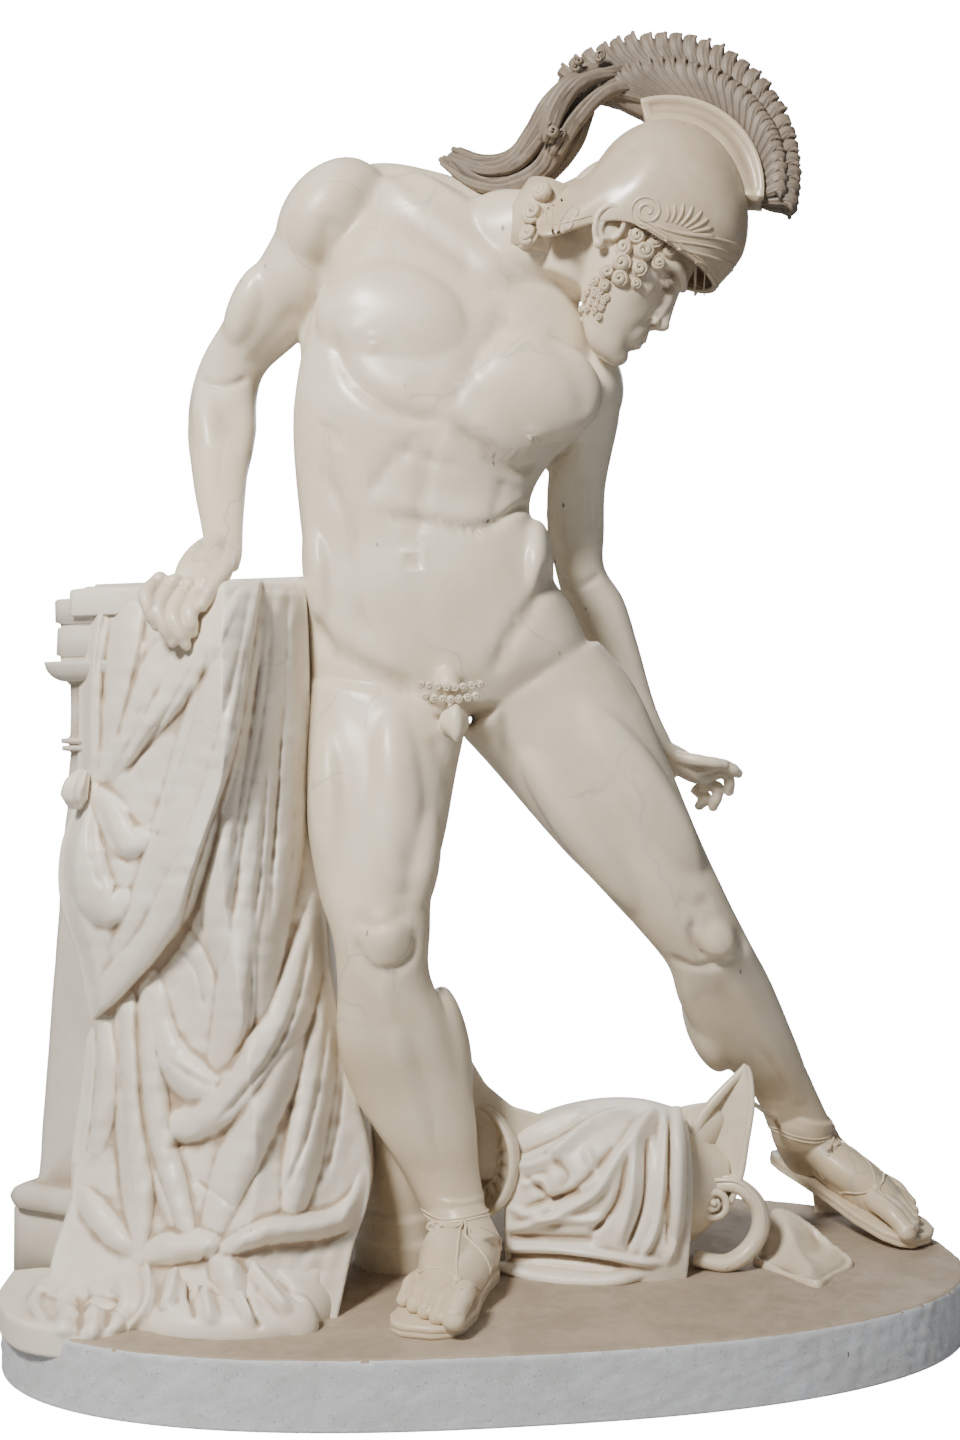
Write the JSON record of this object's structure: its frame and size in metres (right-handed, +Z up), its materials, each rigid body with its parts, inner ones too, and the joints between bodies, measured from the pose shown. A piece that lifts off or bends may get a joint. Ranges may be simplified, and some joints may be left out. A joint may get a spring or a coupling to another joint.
{
  "type": "marble statue",
  "caption": "Carved marble warrior in a crested helmet, leaning on a draped altar with a fallen jug behind the legs, on an oval plinth.",
  "frame": {"origin": "centre of the plinth's underside, on the floor", "axes": "+X along the plinth's long axis to the figure's left, -Y is the front, +Z up"},
  "size_m": [1.5705, 0.82, 2.1202],
  "materials": {
    "marble": "honed warm white marble"
  },
  "bodies": {
    "root": {"marble_statue": "marble"}
  },
  "joints": []
}
